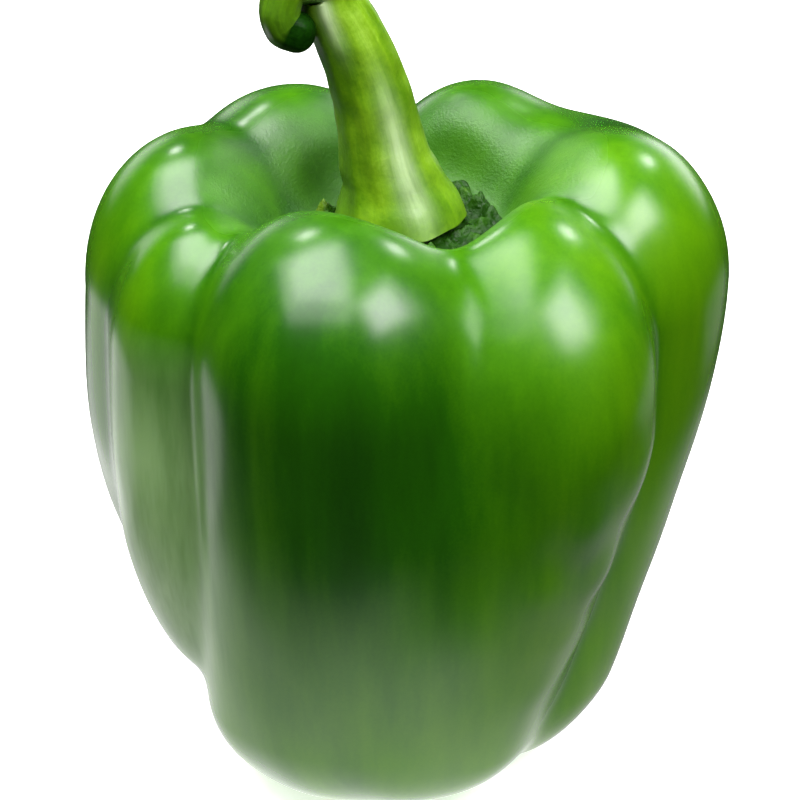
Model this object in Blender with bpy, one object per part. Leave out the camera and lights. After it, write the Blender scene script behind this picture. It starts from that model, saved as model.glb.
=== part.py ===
"""A green bell pepper as picked, standing upright on the blossom ends of its lobes.

Three grown pieces, in metres with +Z up: the fruit, the calyx that sits in its hollow
shoulder, and the curled stem. X runs across the widest side of the fruit, Y runs from the
broad front face to the back, and the origin is on the ground under the middle.
"""

import math

import bpy
import numpy as np

# ---------------------------------------------------------------- driving dimensions

FRUIT_COLUMNS = 72  # points round the fruit
FRUIT_ROWS = 44  # points from the hollow over a shoulder and down to the blossom end
GROUND = 0.0  # the lobes' ends are pressed flat where they rest

# Where two lobes meet, their surfaces blend over about this distance.
CREASE = 0.0013
# The three swellings of the front face grew together, so they blend more widely.
FRONT_BLEND = 0.003

# The inner mass that the lobes are grouped round.
CORE_RADIUS = 0.021
CORE_CENTRE = 0.042
CORE_UP = 0.040
CORE_DOWN = 0.0388

# The hollow at the top, a rounded bowl whose bottom is the seat of the calyx.
BOWL_RADIUS = 0.015
BOWL_CENTRE = 0.092
BOWL_DEPTH = 0.0117
BOWL_BLEND = 0.0012

# Below its bulge a lobe starts to draw in gently, over this part of its flank.
FLANK_EASE = 0.12

# A ring inside the flesh, from which every part of the surface can be seen.
RING_RADIUS = 0.018
RING_HEIGHT = 0.048

CALYX_COLUMNS = 60
CALYX_RINGS = 6
CALYX_RADIUS = 0.0112
CALYX_THICKNESS = 0.0016
CALYX_POINTS = 6  # blunt sepal points round the rim
CALYX_POINT_LENGTH = 0.07  # as a part of its radius
CALYX_SIDE_LENGTH = 0.10  # how much longer it is to the right and left, the same way
CALYX_RIM_THINNING = 0.35  # as a part of its thickness
CALYX_GAP = 0.0007  # clear of the fruit, whose facets stand a little proud of its curves

STEM_SIDES = 20
STEM_GAP = 0.0003  # clear of the calyx
STEM_FOOT = 0.007  # the stem turns from upright to its own line over this height
STEM_RIDGES = 5
STEM_RIDGE_HEIGHT = 0.02  # as a part of the radius
STEM_END_STEPS = (0.35, 0.6, 0.8, 0.9)  # rings and tip of its domed end, in end radii


# ------------------------------------------------------------------------ the lobes

def lobe(shoulder, foot, radii, bulge_height, rise, foot_height, drop,
         wide=1.0, taper=1.9, belly=0.0, lean=(0.0, 0.0), crown=2.0):
    """One lobe: a bent, tapering swelling that is widest at bulge_height.

    shoulder and foot are the (x, y) places of its middle line at bulge_height and at
    foot_height, and radii are its radii there. It domes over by rise above bulge_height
    and closes by drop below foot_height. wide stretches it round the fruit, taper says
    how late it draws in towards the foot, belly pushes its flank outwards, lean is how
    far its crest stands from its shoulder, and a crown over 2 flattens its crest.
    """
    return dict(shoulder=shoulder, foot=foot, radii=radii, bulge_height=bulge_height,
                rise=rise, foot_height=foot_height, drop=drop, wide=wide, taper=taper,
                belly=belly, lean=lean, crown=crown)


# Lobes that grew together without a furrow share a group.
LOBE_GROUPS = {
    "front": [
        lobe((-0.0092, -0.019), (-0.012, -0.015), (0.017, 0.0145), 0.068, 0.023,
             0.015, 0.0144, wide=1.12, lean=(0.0, 0.002), crown=2.4),
        lobe((0.0035, -0.0165), (-0.002, -0.015), (0.0165, 0.015), 0.050, 0.0275,
             0.015, 0.0134, lean=(0.0, 0.004)),
        lobe((0.0182, -0.0178), (0.0052, -0.015), (0.0149, 0.0138), 0.0615, 0.0270,
             0.012, 0.0116, taper=1.0, lean=(-0.0015, 0.0084), crown=3.1),
    ],
    "right": [
        lobe((0.0283, 0.0038), (0.0177, -0.006), (0.0158, 0.0119), 0.072, 0.020,
             0.015, 0.013, wide=1.1, taper=1.3),
    ],
    "back_right": [
        lobe((0.0266, 0.0125), (0.0125, 0.0095), (0.016, 0.012), 0.071, 0.018,
             0.015, 0.014, wide=1.1),
        lobe((0.010, 0.021), (0.004, 0.014), (0.0145, 0.012), 0.072, 0.0197,
             0.015, 0.016, wide=1.05),
    ],
    "back_left": [
        lobe((-0.016, 0.019), (-0.011, 0.013), (0.016, 0.012), 0.072, 0.020,
             0.015, 0.016, wide=1.15),
    ],
    "left_back": [
        lobe((-0.0286, 0.0075), (-0.0225, 0.006), (0.0153, 0.0122), 0.0695, 0.0213,
             0.021, 0.012, wide=1.12, taper=3.2, belly=0.001),
    ],
    "left_front": [
        lobe((-0.027, -0.008), (-0.0225, -0.005), (0.0125, 0.0122), 0.067, 0.019,
             0.021, 0.012, taper=3.2, belly=0.0005),
    ],
}


def eased(share):
    """0 up to 0 and 1 at 1, leaving 0 gently, so that a flank has no kink."""
    share = np.maximum(share, 0)
    whole = math.hypot(1, FLANK_EASE) - FLANK_EASE
    return (np.sqrt(share ** 2 + FLANK_EASE ** 2) - FLANK_EASE) / whole


def lobe_depth(points, shoulder, foot, radii, bulge_height, rise, foot_height, drop,
               wide, taper, belly, lean, crown):
    """Roughly the distance of each point outside one lobe, negative inside it."""
    height = points[..., 2]
    way_down = (bulge_height - height) / (bulge_height - foot_height)
    way_up = np.clip((height - bulge_height) / rise, 0, 1)
    bend = eased(way_down) ** taper
    reach = math.hypot(*shoulder)
    out = (shoulder[0] / reach, shoulder[1] / reach)
    push = belly * 4 * np.clip(way_down, 0, 1) * np.clip(1 - way_down, 0, 1)
    radius = radii[0] + (radii[1] - radii[0]) * bend
    middle = [shoulder[axis] + (foot[axis] - shoulder[axis]) * bend + out[axis] * push
              + lean[axis] * way_up ** 2 for axis in range(2)]
    x = points[..., 0] - middle[0]
    y = points[..., 1] - middle[1]
    along = x * out[0] + y * out[1]
    across = (y * out[0] - x * out[1]) / wide
    above = (np.maximum(height - bulge_height, 0) / rise) ** (crown / 2) * radius
    below = np.maximum(foot_height - height, 0) * radius / drop
    return np.sqrt(along ** 2 + across ** 2 + above ** 2 + below ** 2) - radius


def boxy_depth(points, radius, centre, up, down):
    """The same for an upright form with a flattish top and foot, a fourth-power oval."""
    height = points[..., 2] - centre
    height = height * np.where(height > 0, radius / up, radius / down)
    flat = points[..., 0] ** 2 + points[..., 1] ** 2
    return (flat ** 2 + height ** 4) ** 0.25 - radius


def blend(depths, width):
    """The depth of the joined shape, rounded where the surfaces meet."""
    nearest = np.minimum.reduce(depths)
    return nearest - width * np.log(sum(np.exp((nearest - d) / width) for d in depths))


def fruit_depth(points):
    """Roughly the distance of each point outside the whole fruit, negative inside."""
    groups = []
    for lobes in LOBE_GROUPS.values():
        groups.append(blend([lobe_depth(points, **one) for one in lobes], FRONT_BLEND))
    groups.append(boxy_depth(points, CORE_RADIUS, CORE_CENTRE, CORE_UP, CORE_DOWN))
    bowl = boxy_depth(points, BOWL_RADIUS, BOWL_CENTRE, BOWL_DEPTH, BOWL_DEPTH)
    return -blend([-blend(groups, CREASE), bowl], BOWL_BLEND)


# ------------------------------------------------------------------- surface points

def way_out(start, direction, furthest, steps):
    """Where each ray first leaves the fruit, found by steps and then by halving."""
    step = furthest / steps
    low = np.zeros(direction.shape[:-1])
    inside_yet = np.ones(direction.shape[:-1], bool)
    for index in range(1, steps + 1):
        inside_yet &= fruit_depth(start + direction * (index * step)) < 0
        low = np.where(inside_yet, index * step, low)
    high = low + step
    for _ in range(16):
        middle = (low + high) / 2
        inside = fruit_depth(start + direction * middle[..., None]) < 0
        low = np.where(inside, middle, low)
        high = np.where(inside, high, middle)
    return start + direction * ((low + high) / 2)[..., None]


def evenly_spaced(column, count):
    """count points at equal distances along a line of points."""
    steps = np.linalg.norm(np.diff(column, axis=0), axis=1)
    length = np.concatenate([[0], np.cumsum(steps)])
    wanted = np.linspace(0, length[-1], count)
    return np.stack([np.interp(wanted, length, column[:, axis]) for axis in range(3)], 1)


def fruit_top(x, y):
    """The height of the seat and of the walls round it, at each (x, y) in the hollow."""
    start = np.stack([x, y, np.full_like(x, RING_HEIGHT)], axis=-1)
    upwards = np.zeros_like(start)
    upwards[..., 2] = 1
    return way_out(start, upwards, 0.05, 50)[..., 2]


def fruit_grid(columns, rows):
    """Points [row, column] from the middle of the seat to the middle of the foot.

    The rays start on a ring inside the flesh and swing from the seat, over the shoulder
    and down the flank to the foot, so that they meet every wall squarely.
    """
    middle = np.zeros(1)
    seat = fruit_top(middle, middle)[0]
    downwards = np.array([[0.0, 0.0, -1.0]])
    foot = way_out(np.array([[0.0, 0.0, RING_HEIGHT]]), downwards, 0.05, 50)[0, 2]
    first = math.atan2(seat - RING_HEIGHT, -RING_RADIUS)
    last = math.atan2(foot - RING_HEIGHT, -RING_RADIUS)
    tilt, around = np.meshgrid(
        np.linspace(first, last, rows * 4),
        np.linspace(0, 2 * math.pi, columns, endpoint=False),
        indexing="ij",
    )
    outwards = np.stack([np.cos(around), np.sin(around), np.zeros_like(around)], axis=-1)
    start = outwards * RING_RADIUS + (0, 0, RING_HEIGHT)
    direction = outwards * np.cos(tilt)[..., None]
    direction[..., 2] = np.sin(tilt)
    dense = way_out(start, direction, 0.06, 40)
    dense[..., 2] = np.maximum(dense[..., 2], GROUND)
    grid = [evenly_spaced(dense[:, column], rows) for column in range(columns)]
    return np.stack(grid, axis=1)


# --------------------------------------------------------------------------- meshes

def grid_faces(rows, columns):
    """Quads over rows of columns points each, closed round."""
    faces = []
    for row in range(rows - 1):
        for column in range(columns):
            after = (column + 1) % columns
            faces.append((row * columns + column, (row + 1) * columns + column,
                          (row + 1) * columns + after, row * columns + after))
    return faces


def closed_mesh(name, grid, first_end, last_end):
    """A mesh over the grid, with a fan at each end round the two given points."""
    rows, columns = grid.shape[:2]
    points = [tuple(point) for point in grid.reshape(-1, 3)]
    faces = grid_faces(rows, columns)
    top = len(points)
    bottom = top + 1
    points += [tuple(first_end), tuple(last_end)]
    last_row = (rows - 1) * columns
    for column in range(columns):
        after = (column + 1) % columns
        faces.append((top, column, after))
        faces.append((bottom, last_row + after, last_row + column))
    mesh = bpy.data.meshes.new(name)
    mesh.from_pydata(points, [], faces)
    mesh.validate()
    mesh.update()
    mesh.shade_smooth()
    return mesh


def material(name, colour, roughness):
    made = bpy.data.materials.new(name)
    made.use_nodes = True
    shader = made.node_tree.nodes["Principled BSDF"]
    shader.inputs["Base Color"].default_value = (*colour, 1)
    shader.inputs["Roughness"].default_value = roughness
    shader.inputs["Metallic"].default_value = 0
    made.diffuse_color = (*colour, 1)
    return made


def add_object(name, mesh, surface):
    mesh.materials.append(surface)
    piece = bpy.data.objects.new(name, mesh)
    bpy.context.scene.collection.objects.link(piece)
    return piece


# --------------------------------------------------------------------------- pieces

def add_fruit():
    grid = fruit_grid(FRUIT_COLUMNS, FRUIT_ROWS)
    mesh = closed_mesh("fruit", grid[1:-1], grid[0, 0], grid[-1, 0])
    return add_object("fruit", mesh, material("green_skin", (0.08, 0.30, 0.01), 0.15))


def calyx_rim(around):
    """The calyx's radius at each angle: blunt points, longest to the right and left."""
    points = CALYX_POINT_LENGTH * np.cos(CALYX_POINTS * around + 0.4)
    sides = CALYX_SIDE_LENGTH * np.cos(2 * around - 0.3)
    return CALYX_RADIUS * (1 + points + sides)


def add_calyx():
    """A thin six-pointed plate that follows the seat, flat under the stem."""
    around = np.linspace(0, 2 * math.pi, CALYX_COLUMNS, endpoint=False)
    rim = calyx_rim(around)
    share = np.linspace(0, 1, CALYX_RINGS + 1)[1:, None]
    x = share * rim * np.cos(around)
    y = share * rim * np.sin(around)
    under = fruit_top(x, y) + CALYX_GAP
    thickness = CALYX_THICKNESS * (1 - CALYX_RIM_THINNING * share ** 4)
    over = np.maximum(under, under[0].mean()) + thickness
    top = np.stack([x, y, over], axis=-1)
    bottom = np.stack([x, y, under], axis=-1)[::-1]
    seat = float(under[0].mean())
    grid = np.concatenate([top, bottom])
    mesh = closed_mesh("calyx", grid, (0, 0, seat + CALYX_THICKNESS), (0, 0, seat))
    add_object("calyx", mesh, material("calyx_green", (0.04, 0.17, 0.01), 0.45))
    # The stem's foot covers this much of the plate, so this is its highest point there.
    covered = np.hypot(x - STEM_LINE[0][0], y) < STEM_LINE[0][3] + 0.001
    return float(over[covered].max())


# The stem's middle line and radius: (x, y, height above its foot, radius). It leans to
# the left as it rises, then hooks over to the left and forward, with its end tucked in.
STEM_LINE = [
    (-0.0009, 0.0, 0.0, 0.0087),
    (-0.0011, 0.0, 0.0018, 0.0082),
    (-0.0020, 0.0, 0.0055, 0.0066),
    (-0.0029, 0.0, 0.0090, 0.0059),
    (-0.0042, 0.0, 0.0165, 0.0052),
    (-0.0063, 0.0, 0.0235, 0.00475),
    (-0.0092, -0.0002, 0.0300, 0.0041),
    (-0.0107, -0.0010, 0.0336, 0.0033),
    (-0.0145, -0.0032, 0.0338, 0.0027),
    (-0.0162, -0.0042, 0.0303, 0.0026),
    (-0.0156, -0.0048, 0.0275, 0.0026),
]


def smooth_line(points, per_span):
    """A Catmull-Rom curve through the points, with per_span steps between each two."""
    points = np.array(points)
    before = 2 * points[0] - points[1]
    beyond = 2 * points[-1] - points[-2]
    knots = np.vstack([before, points, beyond])
    line = []
    for index in range(len(points) - 1):
        a, b, c, d = knots[index:index + 4]
        for t in np.linspace(0, 1, per_span, endpoint=False):
            line.append(0.5 * (2 * b + (c - a) * t + (2 * a - 5 * b + 4 * c - d) * t ** 2
                               + (3 * b - a - 3 * c + d) * t ** 3))
    line.append(points[-1])
    return np.array(line)


def add_stem(foot_height):
    """A tube along the stem's line with a wide foot and a domed end."""
    line = smooth_line(STEM_LINE, 3)
    middle = line[:, :3] + (0, 0, foot_height + STEM_GAP)
    radius = line[:, 3]
    heading = np.gradient(middle, axis=0)
    heading /= np.linalg.norm(heading, axis=1)[:, None]
    risen = np.clip(line[:, 2:3] / STEM_FOOT, 0, 1)
    heading = heading * risen + np.array([0, 0, 1]) * (1 - risen)
    heading /= np.linalg.norm(heading, axis=1)[:, None]
    # The domed end: shrinking rings past the last point.
    bulge = radius[-1]
    for step in STEM_END_STEPS[:-1]:
        middle = np.vstack([middle, middle[len(line) - 1] + heading[-1] * bulge * step])
        radius = np.append(radius, bulge * math.sqrt(1 - step ** 2))
    tip = middle[len(line) - 1] + heading[-1] * bulge * STEM_END_STEPS[-1]
    heading = np.vstack([heading, [heading[-1]] * (len(middle) - len(line))])

    side = np.array([1.0, 0.0, 0.0])
    around = np.linspace(0, 2 * math.pi, STEM_SIDES, endpoint=False)
    ridge = 1 + STEM_RIDGE_HEIGHT * np.cos(STEM_RIDGES * around)
    rings = []
    for centre, ahead, size in zip(middle, heading, radius):
        side = side - ahead * side.dot(ahead)
        side /= np.linalg.norm(side)
        other = np.cross(ahead, side)
        ring = np.outer(np.cos(around) * ridge, side) + np.outer(np.sin(around) * ridge, other)
        rings.append(centre + ring * size)
    grid = np.array(rings)[::-1]
    mesh = closed_mesh("stem", grid, tip, middle[0])
    return add_object("stem", mesh, material("stem_green", (0.30, 0.50, 0.05), 0.35))


def main():
    for old in list(bpy.data.objects):
        bpy.data.objects.remove(old)
    add_fruit()
    calyx_top = add_calyx()
    add_stem(calyx_top)


main()
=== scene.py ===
"""The looks of a green bell pepper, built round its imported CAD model.

Lengths are in metres, +Z is up and the pepper's broad front faces -Y. The fruit is made from
the same lobes as the CAD fruit, on a much finer grid, and the calyx and the stem stand in the
places of theirs. Every colour and finish comes from shader nodes, and some of them read numbers
that are kept on the mesh's points.
"""

import math

import bpy
import numpy as np
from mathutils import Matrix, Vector


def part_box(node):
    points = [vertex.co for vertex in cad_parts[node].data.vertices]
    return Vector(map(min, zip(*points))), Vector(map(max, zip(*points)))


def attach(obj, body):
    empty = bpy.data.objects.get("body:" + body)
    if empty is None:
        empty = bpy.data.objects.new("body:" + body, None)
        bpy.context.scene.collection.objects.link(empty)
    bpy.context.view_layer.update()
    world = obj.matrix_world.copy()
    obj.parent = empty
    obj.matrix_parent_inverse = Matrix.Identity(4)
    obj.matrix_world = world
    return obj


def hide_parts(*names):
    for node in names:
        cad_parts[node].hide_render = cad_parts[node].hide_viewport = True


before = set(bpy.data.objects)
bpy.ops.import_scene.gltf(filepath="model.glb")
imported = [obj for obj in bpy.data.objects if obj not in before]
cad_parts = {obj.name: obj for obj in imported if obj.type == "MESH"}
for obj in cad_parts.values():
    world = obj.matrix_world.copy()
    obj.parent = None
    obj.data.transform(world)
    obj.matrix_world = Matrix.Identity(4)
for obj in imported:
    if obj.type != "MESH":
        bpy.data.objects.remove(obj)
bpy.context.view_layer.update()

FRUIT_LOW, FRUIT_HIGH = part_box("fruit")
CALYX_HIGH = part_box("calyx")[1]
STEM_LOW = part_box("stem")[0]
GROUND = FRUIT_LOW.z
TURN = 2 * math.pi

# ------------------------------------------------------------------- the fruit's form

FRUIT_COLUMNS = 340
FRUIT_ROWS = 270
CREASE = 0.0011
FURROW_WIDTH = 0.0014
FRONT_BLEND = 0.003
FLANK_EASE = 0.12
CORE_RADIUS = 0.021
CORE_CENTRE = 0.042
CORE_UP = 0.040
CORE_DOWN = 0.0388
BOWL_RADIUS = 0.015
BOWL_CENTRE = 0.092
BOWL_DEPTH = 0.0117
BOWL_BLEND = 0.0012
RING_RADIUS = 0.018
RING_HEIGHT = 0.048
RAY_HALVINGS = 16
UPRIGHT_REACH, UPRIGHT_STEPS = 0.05, 50
OUTWARD_REACH, OUTWARD_STEPS = 0.06, 30
ROW_DENSITY = 1.5


def lobe(shoulder, foot, radii, bulge_height, rise, foot_height, drop,
         wide=1.0, taper=1.9, belly=0.0, lean=(0.0, 0.0), crown=2.0):
    """One lobe: a bent, tapering swelling that is widest at bulge_height."""
    return dict(shoulder=shoulder, foot=foot, radii=radii, bulge_height=bulge_height,
                rise=rise, foot_height=foot_height, drop=drop, wide=wide, taper=taper,
                belly=belly, lean=lean, crown=crown)


LOBE_GROUPS = {
    "front": [
        lobe((-0.0092, -0.019), (-0.012, -0.015), (0.017, 0.0145), 0.068, 0.023,
             0.015, 0.0144, wide=1.12, lean=(0.0, 0.002), crown=2.4),
        lobe((0.0035, -0.0165), (-0.002, -0.015), (0.0165, 0.015), 0.050, 0.0275,
             0.015, 0.0134, lean=(0.0, 0.004)),
        lobe((0.0182, -0.0178), (0.0052, -0.015), (0.0149, 0.0138), 0.0615, 0.0270,
             0.012, 0.0116, taper=1.0, lean=(-0.0015, 0.0084), crown=3.1),
    ],
    "right": [
        lobe((0.0283, 0.0038), (0.0177, -0.006), (0.0158, 0.0119), 0.072, 0.020,
             0.015, 0.013, wide=1.1, taper=1.3),
    ],
    "back_right": [
        lobe((0.0266, 0.0125), (0.0125, 0.0095), (0.016, 0.012), 0.071, 0.018,
             0.015, 0.014, wide=1.1),
        lobe((0.010, 0.021), (0.004, 0.014), (0.0145, 0.012), 0.072, 0.0197,
             0.015, 0.016, wide=1.05),
    ],
    "back_left": [
        lobe((-0.016, 0.019), (-0.011, 0.013), (0.016, 0.012), 0.072, 0.020,
             0.015, 0.016, wide=1.15),
    ],
    "left_back": [
        lobe((-0.0286, 0.0075), (-0.0225, 0.006), (0.0153, 0.0122), 0.0695, 0.0213,
             0.021, 0.012, wide=1.12, taper=3.2, belly=0.001),
    ],
    "left_front": [
        lobe((-0.027, -0.008), (-0.0225, -0.005), (0.0125, 0.0122), 0.067, 0.019,
             0.021, 0.012, taper=3.2, belly=0.0005),
    ],
}


def eased(share):
    """0 up to 0 and 1 at 1, leaving 0 gently, so that a flank has no kink."""
    share = np.maximum(share, 0)
    whole = math.hypot(1, FLANK_EASE) - FLANK_EASE
    return (np.sqrt(share ** 2 + FLANK_EASE ** 2) - FLANK_EASE) / whole


def lobe_depth(points, shoulder, foot, radii, bulge_height, rise, foot_height, drop,
               wide, taper, belly, lean, crown):
    """Roughly the distance of each point outside one lobe, negative inside it."""
    height = points[..., 2]
    way_down = (bulge_height - height) / (bulge_height - foot_height)
    way_up = np.clip((height - bulge_height) / rise, 0, 1)
    bend = eased(way_down) ** taper
    reach = math.hypot(*shoulder)
    out = (shoulder[0] / reach, shoulder[1] / reach)
    push = belly * 4 * np.clip(way_down, 0, 1) * np.clip(1 - way_down, 0, 1)
    radius = radii[0] + (radii[1] - radii[0]) * bend
    middle = [shoulder[axis] + (foot[axis] - shoulder[axis]) * bend + out[axis] * push
              + lean[axis] * way_up ** 2 for axis in range(2)]
    x = points[..., 0] - middle[0]
    y = points[..., 1] - middle[1]
    along = x * out[0] + y * out[1]
    across = (y * out[0] - x * out[1]) / wide
    above = (np.maximum(height - bulge_height, 0) / rise) ** (crown / 2) * radius
    below = np.maximum(foot_height - height, 0) * radius / drop
    return np.sqrt(along ** 2 + across ** 2 + above ** 2 + below ** 2) - radius


def boxy_depth(points, radius, centre, up, down):
    """The same for an upright form with a flattish top and foot, a fourth-power oval."""
    height = points[..., 2] - centre
    height = height * np.where(height > 0, radius / up, radius / down)
    flat = points[..., 0] ** 2 + points[..., 1] ** 2
    return (flat ** 2 + height ** 4) ** 0.25 - radius


def blend(depths, width):
    """The depth of the joined shape, rounded where the surfaces meet."""
    nearest = np.minimum.reduce(depths)
    return nearest - width * np.log(sum(np.exp((nearest - d) / width) for d in depths))


def group_depths(points):
    """The depth of each group of lobes at the points."""
    return [blend([lobe_depth(points, **one) for one in lobes], FRONT_BLEND)
            for lobes in LOBE_GROUPS.values()]


def fruit_depth(points):
    """Roughly the distance of each point outside the whole fruit, negative inside."""
    groups = group_depths(points)
    groups.append(boxy_depth(points, CORE_RADIUS, CORE_CENTRE, CORE_UP, CORE_DOWN))
    bowl = boxy_depth(points, BOWL_RADIUS, BOWL_CENTRE, BOWL_DEPTH, BOWL_DEPTH)
    return -blend([-blend(groups, CREASE), bowl], BOWL_BLEND)


def way_out(start, direction, furthest, steps):
    """Where each ray first leaves the fruit, found by steps and then by halving."""
    step = furthest / steps
    low = np.zeros(direction.shape[:-1])
    inside_yet = np.ones(direction.shape[:-1], bool)
    for index in range(1, steps + 1):
        inside_yet &= fruit_depth(start + direction * (index * step)) < 0
        low = np.where(inside_yet, index * step, low)
    high = low + step
    for _ in range(RAY_HALVINGS):
        middle = (low + high) / 2
        inside = fruit_depth(start + direction * middle[..., None]) < 0
        low = np.where(inside, middle, low)
        high = np.where(inside, high, middle)
    return start + direction * ((low + high) / 2)[..., None]


def evenly_spaced(column, count):
    """count points at equal distances along a line of points."""
    steps = np.linalg.norm(np.diff(column, axis=0), axis=1)
    length = np.concatenate([[0], np.cumsum(steps)])
    wanted = np.linspace(0, length[-1], count)
    return np.stack([np.interp(wanted, length, column[:, axis]) for axis in range(3)], 1)


def fruit_top(x, y):
    """The height of the seat and of the walls round it, at each (x, y) in the hollow."""
    start = np.stack([x, y, np.full_like(x, RING_HEIGHT)], axis=-1)
    upwards = np.zeros_like(start)
    upwards[..., 2] = 1
    return way_out(start, upwards, UPRIGHT_REACH, UPRIGHT_STEPS)[..., 2]


def fruit_grid(columns, rows):
    """Points [row, column] from the middle of the seat to the middle of the foot."""
    middle = np.zeros(1)
    seat = fruit_top(middle, middle)[0]
    downwards = np.array([[0.0, 0.0, -1.0]])
    centre = np.array([[0.0, 0.0, RING_HEIGHT]])
    foot = way_out(centre, downwards, UPRIGHT_REACH, UPRIGHT_STEPS)[0, 2]
    first = math.atan2(seat - RING_HEIGHT, -RING_RADIUS)
    last = math.atan2(foot - RING_HEIGHT, -RING_RADIUS)
    tilt, around = np.meshgrid(
        np.linspace(first, last, int(rows * ROW_DENSITY)),
        np.linspace(0, TURN, columns, endpoint=False),
        indexing="ij",
    )
    outwards = np.stack([np.cos(around), np.sin(around), np.zeros_like(around)], axis=-1)
    start = outwards * RING_RADIUS + (0, 0, RING_HEIGHT)
    direction = outwards * np.cos(tilt)[..., None]
    direction[..., 2] = np.sin(tilt)
    dense = way_out(start, direction, OUTWARD_REACH, OUTWARD_STEPS)
    grid = [evenly_spaced(dense[:, column], rows) for column in range(columns)]
    return np.stack(grid, axis=1)


# ------------------------------------------------------------------------ variation

WAVES = 28
WAVELENGTH_SPREAD = (0.7, 1.4)


def ripples(points, wavelength, seed):
    """A soft random field of about unit strength, from plane waves near that wavelength."""
    draw = np.random.default_rng(seed)
    directions = draw.normal(size=(WAVES, 3))
    directions /= np.linalg.norm(directions, axis=1)[:, None]
    directions *= TURN / (wavelength * draw.uniform(*WAVELENGTH_SPREAD, (WAVES, 1)))
    phases = draw.uniform(0, TURN, WAVES)
    field = np.zeros(points.shape[:-1])
    for direction, phase in zip(directions, phases):
        field += np.sin(points @ direction + phase)
    return field / math.sqrt(WAVES / 2)


def patch(points, centre, size):
    """1 at centre, fading out over the three sizes."""
    return np.exp(-(((points - centre) / size) ** 2).sum(axis=-1))


def drawn_out(points, stretch):
    """Points whose height counts for less, so that a field drawn on them has streaks."""
    return points * (1, 1, 1 / stretch)


def rise(values, start, end):
    """0 at start and 1 at end, even between them and level beyond. The end may be the lower."""
    return np.clip((values - start) / (end - start), 0, 1)


def sheen(values, middle, reach):
    """1 at the middle and next to nothing beyond the reach, either way."""
    return np.exp(-((values - middle) / reach) ** 2)


# --------------------------------------------------------------------------- meshes

def grid_faces(rows, columns):
    """Quads over rows of columns points each, closed round."""
    row, column = np.meshgrid(np.arange(rows - 1), np.arange(columns), indexing="ij")
    after = (column + 1) % columns
    corners = [row * columns + column, (row + 1) * columns + column,
               (row + 1) * columns + after, row * columns + after]
    return np.stack(corners, axis=-1).reshape(-1, 4).tolist()


def closed_mesh(name, grid, first_end, last_end):
    """A mesh over the grid, with a fan at each end round the two given points."""
    rows, columns = grid.shape[:2]
    points = grid.reshape(-1, 3).tolist() + [list(first_end), list(last_end)]
    faces = grid_faces(rows, columns)
    top = rows * columns
    last_row = (rows - 1) * columns
    for column in range(columns):
        after = (column + 1) % columns
        faces.append([top, column, after])
        faces.append([top + 1, last_row + after, last_row + column])
    mesh = bpy.data.meshes.new(name)
    mesh.from_pydata(points, [], faces)
    mesh.update()
    mesh.shade_smooth()
    return mesh


def points_of(mesh):
    found = np.empty(len(mesh.vertices) * 3)
    mesh.vertices.foreach_get("co", found)
    return found.reshape(-1, 3)


def normals_of(mesh):
    found = np.empty(len(mesh.vertices) * 3)
    mesh.vertices.foreach_get("normal", found)
    return found.reshape(-1, 3)


def move_points(mesh, points):
    mesh.vertices.foreach_set("co", points.astype(np.float32).ravel())
    mesh.update()


def keep_value(mesh, name, values):
    """Keeps one number a point on the mesh, for the material to read."""
    mesh.attributes.new(name, "FLOAT", "POINT").data.foreach_set(
        "value", values.astype(np.float32).ravel())


def keep_vector(mesh, name, values):
    mesh.attributes.new(name, "FLOAT_VECTOR", "POINT").data.foreach_set(
        "vector", values.astype(np.float32).ravel())


def add_piece(name, mesh, surface, node):
    """An object with the mesh and the material, standing for the CAD node."""
    mesh.materials.append(surface)
    piece = bpy.data.objects.new(name, mesh)
    bpy.context.scene.collection.objects.link(piece)
    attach(piece, "root")
    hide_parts(node)


# ------------------------------------------------------------------------ materials

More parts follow.
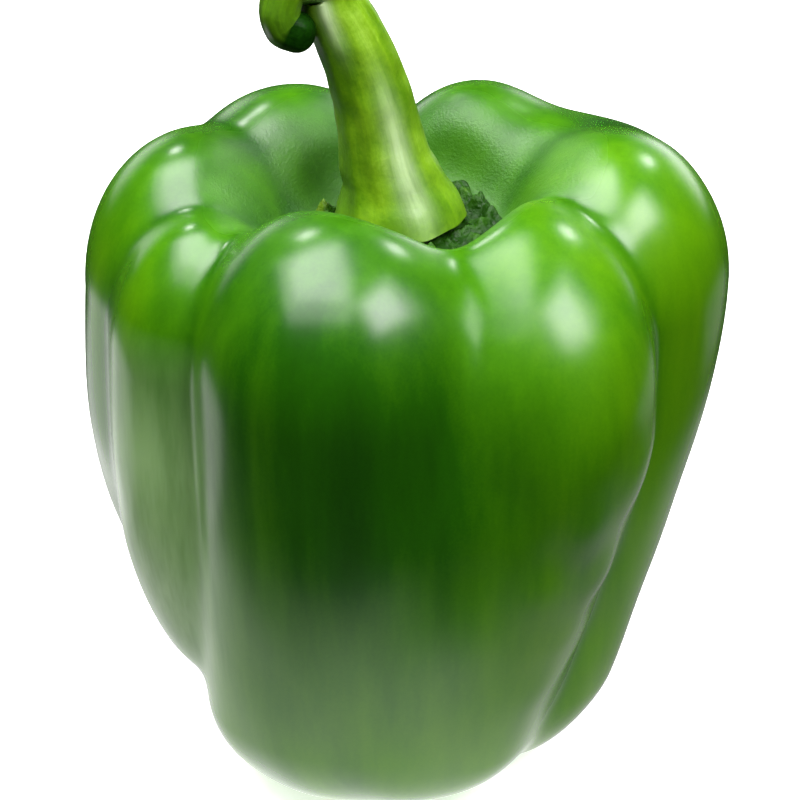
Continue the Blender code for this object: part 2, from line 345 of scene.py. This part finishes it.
class Nodes:
    """A node tree with short calls for the few kinds of node used here."""

    def __init__(self, tree):
        self.tree = tree

    def add(self, kind, **settings):
        node = self.tree.nodes.new(kind)
        for name, value in settings.items():
            setattr(node, name, value)
        return node

    def put(self, socket, value):
        """Links value to the socket if it is one, or else sets it there."""
        if isinstance(value, bpy.types.NodeSocket):
            self.tree.links.new(value, socket)
        else:
            socket.default_value = value

    def place(self):
        return self.add("ShaderNodeTexCoord").outputs["Object"]

    def value(self, name):
        return self.add("ShaderNodeAttribute", attribute_name=name).outputs["Fac"]

    def vector(self, name):
        return self.add("ShaderNodeAttribute", attribute_name=name).outputs["Vector"]

    def stretched(self, vector, scale):
        node = self.add("ShaderNodeMapping")
        self.put(node.inputs["Vector"], vector)
        node.inputs["Scale"].default_value = scale
        return node.outputs["Vector"]

    def noise(self, vector, scale, detail, roughness):
        node = self.add("ShaderNodeTexNoise")
        self.put(node.inputs["Vector"], vector)
        node.inputs["Scale"].default_value = scale
        node.inputs["Detail"].default_value = detail
        node.inputs["Roughness"].default_value = roughness
        return node.outputs["Fac"]

    def math(self, operation, first, second, third=0.0):
        node = self.add("ShaderNodeMath", operation=operation)
        for socket, value in zip(node.inputs, (first, second, third)):
            self.put(socket, value)
        return node.outputs["Value"]

    def spread(self, value, amount):
        """value, which lies round 0.5, as an offset of about that amount either way."""
        return self.math("MULTIPLY_ADD", value, 2 * amount, -amount)

    def span(self, value, from_low, from_high, to_low, to_high):
        node = self.add("ShaderNodeMapRange", interpolation_type="SMOOTHSTEP")
        for name, number in zip(("Value", "From Min", "From Max", "To Min", "To Max"),
                                (value, from_low, from_high, to_low, to_high)):
            self.put(node.inputs[name], number)
        return node.outputs["Result"]

    def oval(self, x, y, half_width, half_depth):
        """1 on the level inside an oval round (x, y), fading to next to nothing outside."""
        shifted = self.add("ShaderNodeMapping", vector_type="TEXTURE")
        self.put(shifted.inputs["Vector"], self.place())
        shifted.inputs["Location"].default_value = (x, y, 0)
        shifted.inputs["Scale"].default_value = (half_width, half_depth, 1)
        reach = self.add("ShaderNodeVectorMath", operation="LENGTH")
        self.put(reach.inputs[0], shifted.outputs["Vector"])
        return self.span(reach.outputs["Value"], *OVAL_EDGE, *OVAL_LEVELS)

    def ramp(self, value, stops):
        node = self.add("ShaderNodeValToRGB")
        elements = node.color_ramp.elements
        while len(elements) < len(stops):
            elements.new(0.5)
        for element, (position, colour) in zip(elements, stops):
            element.position = position
            element.color = (*colour, 1)
        self.put(node.inputs["Fac"], value)
        return node.outputs["Color"]

    def mix(self, share, first, second):
        node = self.add("ShaderNodeMix", data_type="RGBA")
        self.put(node.inputs["Factor"], share)
        self.put(node.inputs["A"], first)
        self.put(node.inputs["B"], second)
        return node.outputs["Result"]

    def bump(self, height, distance, normal=None):
        node = self.add("ShaderNodeBump")
        node.inputs["Distance"].default_value = distance
        self.put(node.inputs["Height"], height)
        if normal is not None:
            self.put(node.inputs["Normal"], normal)
        return node.outputs["Normal"]


WAX_IOR = 1.45
SOFT_WEIGHT = 0.12
SKIN_GREENS = [
    (0.0, (0.004, 0.034, 0.0004)),
    (0.24, (0.010, 0.070, 0.0005)),
    (0.48, (0.036, 0.145, 0.0006)),
    (0.8, (0.095, 0.250, 0.0008)),
    (1.0, (0.130, 0.340, 0.001)),
]
SKIN_TONE_SCALE = 0.8
# The whitish green of the painted reflection on the left front lobe.
PAINTED_REFLECTION_GREEN = (0.26, 0.42, 0.17, 1)
SKIN_ROUGHNESS = (0.225, 0.262)
HOLLOW_ROUGHNESS = 0.24
SKIN_SPECULAR = 0.5
DULL_LOSS = 0.38
CALYX_GREENS = [
    (0.0, (0.002, 0.014, 0.0005)),
    (0.4, (0.008, 0.042, 0.001)),
    (0.7, (0.022, 0.085, 0.002)),
    (1.0, (0.11, 0.20, 0.008)),
]
CALYX_ROUGHNESS = (0.22, 0.5)
CALYX_SPECULAR = 0.22
STEM_GREENS = [
    (0.0, (0.036, 0.100, 0.001)),
    (0.35, (0.075, 0.190, 0.002)),
    (0.65, (0.155, 0.310, 0.006)),
    (1.0, (0.30, 0.48, 0.05)),
]
# The cut end's own dark green, made darker still by painted shade.
CUT_END_AND_PAINTED_SHADE_GREENS = [
    (0.3, (0.0015, 0.012, 0.0005)),
    (0.7, (0.005, 0.034, 0.001)),
]
# The lighter green of the painted highlight streaks on the stem.
PAINTED_HIGHLIGHT_GREEN = (0.52, 0.66, 0.36, 1)
STEM_ROUGHNESS = (0.30, 0.42)
STEM_SPECULAR = 0.45
CUT_END_LOSS = 0.4


def new_material(name):
    """(material, its nodes, its Principled shader)"""
    made = bpy.data.materials.new(name)
    made.use_nodes = True
    shader = made.node_tree.nodes["Principled BSDF"]
    shader.inputs["IOR"].default_value = WAX_IOR
    return made, Nodes(made.node_tree), shader


def soften(shader, radius, scale):
    """Lets some light pass under the surface, as far as scale times radius in each colour."""
    shader.inputs["Subsurface Weight"].default_value = SOFT_WEIGHT
    shader.inputs["Subsurface Radius"].default_value = radius
    shader.inputs["Subsurface Scale"].default_value = scale


def skin_material():
    """Waxy green skin: streaked from shoulder to foot, grainy on the hollow's walls."""
    made, nodes, shader = new_material("pepper_skin")
    place = nodes.place()
    inner = nodes.value("inner")
    upright = nodes.stretched(place, (1, 1, 0.14))
    streaks = nodes.noise(upright, scale=420, detail=3, roughness=0.6)
    speckle = nodes.noise(place, scale=2600, detail=2, roughness=0.6)
    tone = nodes.math("ADD", nodes.value("tone"), nodes.spread(streaks, 0.12))
    tone = nodes.math("ADD", tone, nodes.spread(speckle, 0.06))
    colour = nodes.ramp(nodes.math("MULTIPLY", tone, SKIN_TONE_SCALE), SKIN_GREENS)
    # Painted reflection: a whitish haze mixed into the green, in streaks, on the left front
    # lobe.
    streaky = nodes.span(streaks, 0.2, 0.7, 0.6, 1.0)
    painted_reflection = nodes.math("MULTIPLY", nodes.value("painted_reflection"), streaky)
    nodes.put(shader.inputs["Base Color"], nodes.mix(painted_reflection, colour, PAINTED_REFLECTION_GREEN))
    cloudy = nodes.noise(place, scale=120, detail=2, roughness=0.5)
    smooth = nodes.span(cloudy, 0.3, 0.7, *SKIN_ROUGHNESS)
    rough = nodes.math("MULTIPLY_ADD", inner, HOLLOW_ROUGHNESS, smooth)
    nodes.put(shader.inputs["Roughness"], rough)
    gloss = nodes.math("MULTIPLY_ADD", nodes.value("dull"), -DULL_LOSS, SKIN_SPECULAR)
    nodes.put(shader.inputs["Specular IOR Level"], gloss)
    grain = nodes.noise(place, scale=2300, detail=3, roughness=0.65)
    height = nodes.math("MULTIPLY", grain, nodes.math("MULTIPLY_ADD", inner, 1.0, 0.05))
    nodes.put(shader.inputs["Normal"], nodes.bump(height, distance=0.00010))
    soften(shader, radius=(0.5, 1.0, 0.15), scale=0.0025)
    return made


def calyx_material():
    """Dark green flesh with small moist glints, yellower where its tone is high."""
    made, nodes, shader = new_material("calyx_flesh")
    place = nodes.place()
    blotch = nodes.noise(place, scale=420, detail=4, roughness=0.65)
    tone = nodes.math("ADD", nodes.value("tone"), nodes.spread(blotch, 0.35))
    nodes.put(shader.inputs["Base Color"], nodes.ramp(tone, CALYX_GREENS))
    nodes.put(shader.inputs["Roughness"], nodes.span(blotch, 0.35, 0.65, *CALYX_ROUGHNESS))
    shader.inputs["Specular IOR Level"].default_value = CALYX_SPECULAR
    lumps = nodes.noise(place, scale=1300, detail=4, roughness=0.6)
    nodes.put(shader.inputs["Normal"], nodes.bump(lumps, distance=0.0004))
    return made


def stem_material():
    """Satin yellow-green stem with fibres, painted highlight streaks and a dark cut end, part
    painted shade.
    """
    made, nodes, shader = new_material("stem_fibre")
    place = nodes.place()
    streaks = nodes.noise(nodes.vector("fibre"), scale=900, detail=3, roughness=0.6)
    mottle = nodes.noise(place, scale=260, detail=3, roughness=0.55)
    fine = nodes.noise(place, scale=1800, detail=2, roughness=0.6)
    tone = nodes.math("ADD", nodes.value("tone"), nodes.spread(streaks, 0.22))
    tone = nodes.math("ADD", tone, nodes.spread(mottle, 0.24))
    tone = nodes.math("ADD", tone, nodes.spread(fine, 0.14))
    streaky = nodes.span(streaks, 0.2, 0.6, 0.5, 0.95)
    # Painted highlight streaks mixed into the green.
    painted_highlight = nodes.math("MULTIPLY", nodes.value("painted_highlight"), streaky)
    green = nodes.mix(painted_highlight, nodes.ramp(tone, STEM_GREENS), PAINTED_HIGHLIGHT_GREEN)
    dark = nodes.ramp(nodes.math("ADD", mottle, nodes.spread(fine, 0.3)), CUT_END_AND_PAINTED_SHADE_GREENS)
    end = nodes.value("end")
    nodes.put(shader.inputs["Base Color"], nodes.mix(end, green, dark))
    nodes.put(shader.inputs["Roughness"], nodes.span(mottle, 0.3, 0.7, *STEM_ROUGHNESS))
    gloss = nodes.math("MULTIPLY_ADD", end, -CUT_END_LOSS, STEM_SPECULAR)
    nodes.put(shader.inputs["Specular IOR Level"], gloss)
    fibrous = nodes.bump(streaks, distance=0.00006)
    nodes.put(shader.inputs["Normal"], nodes.bump(fine, distance=0.00004, normal=fibrous))
    soften(shader, radius=(0.8, 1.0, 0.2), scale=0.002)
    return made


# --------------------------------------------------------------------------- pieces

# Patches on the skin: (centre, size).
CRINKLED = ((0.024, -0.024, 0.043), (0.009, 0.012, 0.024))
# Painted shade: the middle of the front is darker, where the upright skin gets little light.
PAINTED_SHADE_FRONT = ((-0.002, -0.036, 0.065), (0.020, 0.018, 0.021))
# Painted reflection: a whitish haze on the left front lobe, as from bright surroundings beside
# it.
PAINTED_REFLECTION_LEFT = ((-0.034, -0.018, 0.05), (0.010, 0.010, 1))
DULL_VALLEY = ((0.0103, -0.026, 0.0835), (0.0055, 0.010, 0.0095))

FLUTE_HEIGHT = 0.00004
DENT_HEIGHT = 0.00003
LOW_DENT_HEIGHT = 0.00006
CRINKLE_HEIGHT = 0.00022

# How light the green is, and what each feature adds to that.
SKIN_TONE = 0.55
STREAK_TONE = 0.04
BROAD_TONE = 0.05
# Painted light: lighter low down, on the far left and on the right side.
LOW_PAINTED_LIGHT = 0.18
LEFT_PAINTED_LIGHT = 0.12
RIGHT_PAINTED_LIGHT = 0.22
LOW_RIGHT_PAINTED_LIGHT = 0.06
# Painted shade: darker on the back lobes, on the front and in the furrows.
BEHIND_PAINTED_SHADE = -0.12
FRONT_PAINTED_SHADE = -0.43
FURROW_PAINTED_SHADE = -0.16


def hollow_share(points, normals):
    """1 on the hollow's walls and 0 on the outer skin."""
    outwards = points * (1, 1, 0)
    outwards /= np.maximum(np.linalg.norm(outwards, axis=1), 1e-6)[:, None]
    facing_in = -(normals * outwards).sum(axis=1)
    return np.clip(facing_in * 2.2 - 0.1, 0, 1) * rise(points[:, 2], 0.070, 0.078)


def furrow_share(points):
    """1 along the lines where groups of lobes meet, fading out at the foot."""
    nearest = np.sort(group_depths(points), axis=0)
    return sheen(nearest[1] - nearest[0], 0, FURROW_WIDTH) * rise(points[:, 2], 0.012, 0.032)


def skin_relief(points, low):
    """How far the skin stands out: long flutes, dents that deepen low down, and crinkles."""
    flutes = ripples(drawn_out(points, 6), wavelength=0.011, seed=3)
    dents = ripples(drawn_out(points, 1.6), wavelength=0.013, seed=5)
    crinkles = ripples(drawn_out(points, 1.3), wavelength=0.008, seed=7)
    flank = rise(np.linalg.norm(points[:, :2], axis=1), 0, 0.03)
    return flank * (FLUTE_HEIGHT * flutes + (DENT_HEIGHT + LOW_DENT_HEIGHT * low) * dents
                    + CRINKLE_HEIGHT * crinkles * patch(points, *CRINKLED))


def skin_tone_and_painted_light(points, low, furrow):
    """How light the green is at each point: random streaks, with painted light and painted
    shade.
    """
    streaks = ripples(drawn_out(points, 7), wavelength=0.0085, seed=11)
    broad = ripples(drawn_out(points, 2.5), wavelength=0.035, seed=13)
    rightward = rise(points[:, 0], 0, 0.032)
    leftward = rise(points[:, 0], -0.03, -0.04)
    behind = rise(points[:, 1], -0.008, 0.022)
    behind = behind ** 2 * (3 - 2 * behind)
    return (SKIN_TONE + STREAK_TONE * streaks + BROAD_TONE * broad
            + LOW_PAINTED_LIGHT * low + LEFT_PAINTED_LIGHT * leftward
            + (RIGHT_PAINTED_LIGHT + LOW_RIGHT_PAINTED_LIGHT * low) * rightward * (1 - behind)
            + BEHIND_PAINTED_SHADE * behind + FRONT_PAINTED_SHADE * patch(points, *PAINTED_SHADE_FRONT)
            + FURROW_PAINTED_SHADE * furrow)


def add_fruit():
    grid = fruit_grid(FRUIT_COLUMNS, FRUIT_ROWS)
    mesh = closed_mesh("pepper_fruit", grid[1:-1], grid[0, 0], grid[-1, 0])
    points = points_of(mesh)
    normals = normals_of(mesh)
    height = points[:, 2].copy()
    low = rise(height, 0.055, 0.015)
    furrow = furrow_share(points)
    keep_value(mesh, "inner", hollow_share(points, normals))
    points = points + normals * skin_relief(points, low)[:, None]
    points[:, 2] = np.maximum(points[:, 2], GROUND)
    move_points(mesh, points)
    # Painted reflection on the left front lobe, kept between these heights.
    window = rise(height, 0.075, 0.055) * rise(height, 0.01, 0.03)
    keep_value(mesh, "tone", skin_tone_and_painted_light(points, low, furrow))
    keep_value(mesh, "painted_reflection", patch(points, *PAINTED_REFLECTION_LEFT) * window)
    keep_value(mesh, "dull", patch(points, *DULL_VALLEY))
    add_piece("pepper_fruit", mesh, skin_material(), "fruit")


CALYX_COLUMNS = 300
CALYX_RINGS = 60
CALYX_THICKNESS = 0.0016
CALYX_REACH = 1.03
SEAT_GAP = 0.0001
LEAST_THICKNESS = 0.0003

# Patches on the calyx: (centre, size). The lumps beside the stem also have a height.
RIGHT_LUMP = ((0.0115, 0.004, 0), (0.0035, 0.0045, 1))
RIGHT_LUMP_HEIGHT = 0.0021
LEFT_LUMP = ((-0.0105, 0.003, 0), (0.0035, 0.0050, 1))
LEFT_LUMP_HEIGHT = 0.0013
YELLOW_LEFT = ((-0.0115, 0.001, 0), (0.0035, 0.004, 1))


def calyx_rim(around):
    """How far out the rim lies, with blunt points, and longer one way than the other."""
    blunt = 0.05 * np.cos(6 * around + 0.4) + 0.035 * np.cos(13 * around + 1.0)
    long_way = 0.10 * np.cos(2 * around - 0.5)
    return CALYX_HIGH.x * CALYX_REACH * (0.86 + blunt + long_way)


def add_calyx():
    """A knobbly plate over the seat, lumpier beside the stem, with a blunt-pointed rim."""
    around = np.linspace(0, TURN, CALYX_COLUMNS, endpoint=False)
    rim = calyx_rim(around)
    share = np.linspace(0, 1, CALYX_RINGS + 1)[1:, None]
    x = share * rim * np.cos(around)
    y = share * rim * np.sin(around)
    seat = fruit_top(x, y)
    base = seat[0].mean()
    flat = np.stack([x, y, np.zeros_like(x)], axis=-1)
    knobs = ripples(flat, wavelength=0.0030, seed=21)
    grit = ripples(flat, wavelength=0.0013, seed=22)
    edge = rise(share, 0.5, 0.85)
    beside = (RIGHT_LUMP_HEIGHT * patch(flat, *RIGHT_LUMP)
              + LEFT_LUMP_HEIGHT * patch(flat, *LEFT_LUMP))
    lift = edge * (0.0003 + beside + (0.0005 + 0.35 * beside) * np.maximum(knobs, -1))
    lift = np.maximum(lift + 0.0003 * grit * edge, 0) * (1 - share ** 12)
    under = seat + SEAT_GAP
    over = np.maximum(under, base) + CALYX_THICKNESS * (1 - 0.45 * share ** 6) + lift
    below = np.minimum(under + lift * 0.5, over - LEAST_THICKNESS)
    top = np.stack([x, y, over], axis=-1)
    bottom = np.stack([x, y, below], axis=-1)[::-1]
    grid = np.concatenate([top, bottom])
    mesh = closed_mesh("pepper_calyx", grid, (0, 0, base + CALYX_THICKNESS), (0, 0, base))
    tone = 0.42 + 0.12 * knobs * edge + 0.4 * patch(flat, *YELLOW_LEFT)
    both_sides = np.concatenate([tone, tone[::-1]]).ravel()
    keep_value(mesh, "tone", np.append(both_sides, [0.4, 0.4]))
    add_piece("pepper_calyx", mesh, calyx_material(), "calyx")


# The stem's middle line and radius: (x, y, height above its foot, radius).
STEM_LINE = [
    (-0.0009, 0.0, 0.0, 0.0087),
    (-0.0011, 0.0, 0.0018, 0.0082),
    (-0.0020, 0.0, 0.0055, 0.0066),
    (-0.0029, 0.0, 0.0090, 0.0059),
    (-0.0042, 0.0, 0.0165, 0.0052),
    (-0.0063, 0.0, 0.0235, 0.00475),
    (-0.0092, -0.0002, 0.0300, 0.0041),
    (-0.0107, -0.0010, 0.0336, 0.0033),
    (-0.0145, -0.0028, 0.0337, 0.0028),
    (-0.0160, -0.0034, 0.0308, 0.0027),
    (-0.0154, -0.0036, 0.0285, 0.0027),
    (-0.0138, -0.0037, 0.0277, 0.0027),
]
END_RADIUS = STEM_LINE[-1][3]
STEM_SIDES = 96
STEM_AROUND = np.linspace(0, TURN, STEM_SIDES, endpoint=False)
STEM_STEPS = 16
STEM_TURN_HEIGHT = 0.007
STEM_RIDGES = 5
DOME_STEPS = 14
DOME_HEIGHT = 0.9
FLARE_REACH = 0.004
FIBRE_RADIUS = 0.005
FIBRE_STRETCH = 0.12


def smooth_line(points, per_span):
    """A Catmull-Rom curve through the points, with per_span steps between each two."""
    points = np.array(points)
    before = 2 * points[0] - points[1]
    beyond = 2 * points[-1] - points[-2]
    knots = np.vstack([before, points, beyond])
    line = []
    for index in range(len(points) - 1):
        a, b, c, d = knots[index:index + 4]
        for t in np.linspace(0, 1, per_span, endpoint=False):
            line.append(0.5 * (2 * b + (c - a) * t + (2 * a - 5 * b + 4 * c - d) * t ** 2
                               + (3 * b - a - 3 * c + d) * t ** 3))
    line.append(points[-1])
    return np.array(line)


def unit_rows(vectors):
    return vectors / np.linalg.norm(vectors, axis=1)[:, None]


def stem_path():
    """Each ring's centre, heading and radius, as far as the domed end, and the dome's tip."""
    line = smooth_line(STEM_LINE, STEM_STEPS)
    middle = line[:, :3] + (0, 0, STEM_LOW.z)
    risen = rise(line[:, 2:3], 0, STEM_TURN_HEIGHT)
    heading = unit_rows(np.gradient(middle, axis=0))
    heading = unit_rows(heading * risen + np.array([0, 0, 1]) * (1 - risen))
    end = middle[-1]
    ahead = heading[-1]
    reach = END_RADIUS * DOME_HEIGHT
    dome = np.sin(np.linspace(0, math.pi / 2, DOME_STEPS)[1:-1])
    middle = np.vstack([middle, end + np.outer(dome, ahead) * reach])
    heading = np.vstack([heading, [ahead] * len(dome)])
    radius = np.append(line[:, 3], END_RADIUS * np.sqrt(1 - dome ** 2))
    return middle, heading, radius, end + ahead * reach


def stem_rings(middle, heading, radius, travelled):
    """The ridged rings, and the place of each of their points in the grain of the fibres."""
    side = np.array([1.0, 0.0, 0.0])
    cosine, sine = np.cos(STEM_AROUND), np.sin(STEM_AROUND)
    rings, fibres = [], []
    for centre, ahead, size, way in zip(middle, heading, radius, travelled):
        side = side - ahead * side.dot(ahead)
        side /= np.linalg.norm(side)
        other = np.cross(ahead, side)
        flare = math.exp(-way / FLARE_REACH)
        ridge = (1 + 0.022 * np.cos(STEM_RIDGES * STEM_AROUND + 0.6)
                 + 0.010 * np.cos(11 * STEM_AROUND + 40 * way)
                 + flare * 0.02 * np.cos(7 * STEM_AROUND + 1.0))
        ring = np.outer(cosine * ridge, side) + np.outer(sine * ridge, other)
        rings.append(centre + ring * size)
        along = np.full(STEM_SIDES, way * FIBRE_STRETCH)
        fibres.append(np.stack([cosine * FIBRE_RADIUS, sine * FIBRE_RADIUS, along], axis=-1))
    return rings, fibres


def keep_stem_values(mesh, points, normals, travelled):
    """Keeps how light the green is, with painted light and shade, the painted highlight streaks
    and the cut end.
    """
    full = travelled[-1]
    way = np.append(np.repeat(travelled[::-1], STEM_SIDES), [full, 0.0])
    turn = np.append(np.tile(STEM_AROUND, len(travelled)), [0.0, 0.0])
    turn = (turn + math.pi) % TURN - math.pi
    leftward = np.clip(-normals[:, 0], 0, 1)
    rightward = np.clip(normals[:, 0] - 0.3, 0, 1)
    foot = np.exp(-way / 0.006)
    hook = rise(way, 0.037, 0.045)
    # Painted highlight: lighter high on the stem's front right.
    shoulder = sheen(turn, -1.0, 0.6) * sheen(way, 0.027, 0.006)
    mottle = ripples(drawn_out(points, 4), wavelength=0.005, seed=33)
    # Painted shade on the sides facing left and right; also darker along the hook and at the
    # foot.
    tone = (0.52 - 0.22 * leftward - 0.08 * rightward - 0.40 * hook - 0.02 * foot
            + 0.32 * shoulder + 0.08 * mottle)
    # Painted highlight streaks on the stem's front, a lower one and an upper one.
    lower = 0.85 * sheen(turn, -1.12, 0.27) * sheen(way, 0.0105, 0.0085)
    upper = sheen(turn, -1.78, 0.24) * sheen(way, 0.0330, 0.0048)
    cut = full - END_RADIUS * 1.6
    keep_value(mesh, "tone", tone)
    keep_value(mesh, "painted_highlight", np.maximum(lower, upper))
    keep_value(mesh, "end", rise(way, cut, cut + 0.0008))


def add_stem():
    """A ridged tube that flares over the calyx and hooks over to a domed end."""
    middle, heading, radius, tip = stem_path()
    steps = np.linalg.norm(np.diff(middle, axis=0), axis=1)
    travelled = np.concatenate([[0], np.cumsum(steps)])
    rings, fibres = stem_rings(middle, heading, radius, travelled)
    mesh = closed_mesh("pepper_stem", np.array(rings)[::-1], tip, middle[0])
    ends = [[0, 0, travelled[-1] * FIBRE_STRETCH], [0, 0, 0]]
    keep_vector(mesh, "fibre", np.vstack([np.array(fibres)[::-1].reshape(-1, 3), ends]))
    points = points_of(mesh)
    normals = normals_of(mesh)
    bumps = ripples(points, wavelength=0.0045, seed=31)
    points = points + normals * (bumps * 0.00006)[:, None]
    move_points(mesh, points)
    keep_stem_values(mesh, points, normals, travelled)
    add_piece("pepper_stem", mesh, stem_material(), "stem")


# ---------------------------------------------------------------------------- stage

FLOOR_SIZE = 6.0
FLOOR_DROP = 0.00005
FLOOR_GREY = (0.8, 0.8, 0.8, 1)
FLOOR_GLOW = 0.70
# The floor's bright ovals: (x, y, half width, half depth). The camera doesn't see them.
NEAR_GLOW = (0.005, 0.021, 0.080, 0.080)
LEFT_GLOW = (-0.130, 0.055, 0.050, 0.050)
RIGHT_GLOW = (0.170, 0.080, 0.050, 0.050)
LEFT_GLOW_LEVEL = 1.3
RIGHT_GLOW_LEVEL = 0.45
OVAL_EDGE = (0.95, 1.38)
OVAL_LEVELS = (1.0, 0.005)
WORLD_DIM = 0.02


def floor_glow(nodes):
    """How bright the floor is to rays that aren't the camera's: dark, with three ovals."""
    apart = nodes.add("ShaderNodeSeparateXYZ")
    nodes.put(apart.inputs[0], nodes.place())
    right = nodes.span(apart.outputs["X"], 0.005, 0.045, 1.0, 0.30)
    left = nodes.span(apart.outputs["X"], -0.06, -0.01, 1.2, 1.75)
    near = nodes.math("MULTIPLY", nodes.oval(*NEAR_GLOW), nodes.math("MULTIPLY", left, right))
    both = nodes.math("MULTIPLY_ADD", nodes.oval(*LEFT_GLOW), LEFT_GLOW_LEVEL, near)
    return nodes.math("MULTIPLY_ADD", nodes.oval(*RIGHT_GLOW), RIGHT_GLOW_LEVEL, both)


def floor_material():
    """Plain white to the camera, and the dark floor with bright ovals to other rays."""
    made = bpy.data.materials.new("pale_floor")
    made.use_nodes = True
    nodes = Nodes(made.node_tree)
    made.node_tree.nodes.remove(made.node_tree.nodes["Principled BSDF"])
    output = made.node_tree.nodes["Material Output"]
    glow = nodes.add("ShaderNodeEmission")
    glow.inputs["Strength"].default_value = FLOOR_GLOW
    paint = nodes.add("ShaderNodeBsdfDiffuse")
    paint.inputs["Color"].default_value = FLOOR_GREY
    seen = nodes.add("ShaderNodeAddShader")
    nodes.put(seen.inputs[0], glow.outputs[0])
    nodes.put(seen.inputs[1], paint.outputs[0])
    lit = nodes.add("ShaderNodeEmission")
    nodes.put(lit.inputs["Strength"], floor_glow(nodes))
    rays = nodes.add("ShaderNodeLightPath")
    either = nodes.add("ShaderNodeMixShader")
    nodes.put(either.inputs[0], rays.outputs["Is Camera Ray"])
    nodes.put(either.inputs[1], lit.outputs[0])
    nodes.put(either.inputs[2], seen.outputs[0])
    nodes.put(output.inputs["Surface"], either.outputs[0])
    return made


def add_floor():
    mesh = bpy.data.meshes.new("floor")
    half = FLOOR_SIZE / 2
    corners = [(-half, -half, 0), (half, -half, 0), (half, half, 0), (-half, half, 0)]
    mesh.from_pydata(corners, [], [(0, 1, 2, 3)])
    mesh.materials.append(floor_material())
    floor = bpy.data.objects.new("floor", mesh)
    floor.location.z = GROUND - FLOOR_DROP
    bpy.context.scene.collection.objects.link(floor)


def add_world():
    """White to the camera, and nearly dark with two low glows behind to other rays."""
    world = bpy.data.worlds.new("studio")
    bpy.context.scene.world = world
    world.use_nodes = True
    nodes = Nodes(world.node_tree)
    background = world.node_tree.nodes["Background"]
    rays = nodes.add("ShaderNodeLightPath")
    apart = nodes.add("ShaderNodeSeparateXYZ")
    nodes.put(apart.inputs[0], nodes.add("ShaderNodeTexCoord").outputs["Generated"])
    back = nodes.span(apart.outputs["Y"], 0.55, 0.80, 0.0, 1.0)
    low = nodes.span(apart.outputs["Z"], 0.15, 0.45, 1.0, 0.06)
    right = nodes.span(apart.outputs["X"], 0.15, 0.36, 0.05, 4.0)
    left = nodes.span(apart.outputs["X"], -0.40, -0.15, 2.0, 0.05)
    sides = nodes.math("ADD", left, right)
    low_behind = nodes.math("MULTIPLY", back, low)
    dim = nodes.math("MULTIPLY_ADD", sides, low_behind, WORLD_DIM)
    unseen = nodes.math("SUBTRACT", 1.0, rays.outputs["Is Camera Ray"])
    strength = nodes.math("MULTIPLY_ADD", dim, unseen, rays.outputs["Is Camera Ray"])
    nodes.put(background.inputs["Strength"], strength)
    background.inputs["Color"].default_value = (1, 1, 1, 1)


# Soft boxes: name, place and aim from the fruit's top, (width, height) and brightness.
SOFTBOXES = [
    ("overhead_left", (-0.285, -0.08, 0.62), (-0.285, 0, 0), (0.63, 0.86), 5.5),
    ("left_core", (-0.20, -0.03, 0.61), (-0.20, 0, 0), (0.40, 0.50), 7.0),
    ("overhead_right", (0.352, -0.27, 0.61), (0, 0, 0), (0.60, 0.46), 5.0),
    ("right_core", (0.36, -0.30, 0.58), (0, 0, 0), (0.36, 0.34), 11.0),
    ("back_left", (-0.30, 0.65, 0.69), (0, 0, 0), (0.14, 0.10), 32.0),
    ("back_right", (0.44, 0.61, 0.65), (0, 0, 0), (0.14, 0.12), 32.0),
]


def add_softbox(name, place, aim, size, radiance):
    """An area light of that size (width, height) and brightness, facing its aim."""
    light = bpy.data.lights.new(name, "AREA")
    light.shape = "RECTANGLE"
    light.size, light.size_y = size
    light.energy = radiance * math.pi * size[0] * size[1]
    box = bpy.data.objects.new(name, light)
    box.location = place
    box.rotation_euler = (aim - place).to_track_quat("-Z", "Y").to_euler()
    box.visible_camera = False
    bpy.context.scene.collection.objects.link(box)


CAMERA_AIM = (-0.0007, 0.0, 0.054)
CAMERA_ELEVATION = math.radians(31)
CAMERA_DISTANCE = 0.400
CAMERA_LENS = 129.6
SENSOR_WIDTH = 36
NEAR_CLIP = 0.01


def add_camera():
    """Above the horizon, and close enough to widen the pepper's shoulder."""
    back = Vector((0, -math.cos(CAMERA_ELEVATION), math.sin(CAMERA_ELEVATION)))
    data = bpy.data.cameras.new("camera")
    data.sensor_width = SENSOR_WIDTH
    data.lens = CAMERA_LENS
    data.clip_start = NEAR_CLIP
    camera = bpy.data.objects.new("camera", data)
    camera.location = Vector(CAMERA_AIM) + back * CAMERA_DISTANCE
    camera.rotation_euler = (-back).to_track_quat("-Z", "Y").to_euler()
    bpy.context.scene.collection.objects.link(camera)
    bpy.context.scene.camera = camera


add_fruit()
add_calyx()
add_stem()
add_floor()
add_world()
fruit_top_middle = Vector((0, 0, FRUIT_HIGH.z))
for name, place, aim, size, radiance in SOFTBOXES:
    add_softbox(name, fruit_top_middle + Vector(place), fruit_top_middle + Vector(aim), size,
                radiance)
add_camera()
bpy.context.scene.view_settings.view_transform = "Standard"
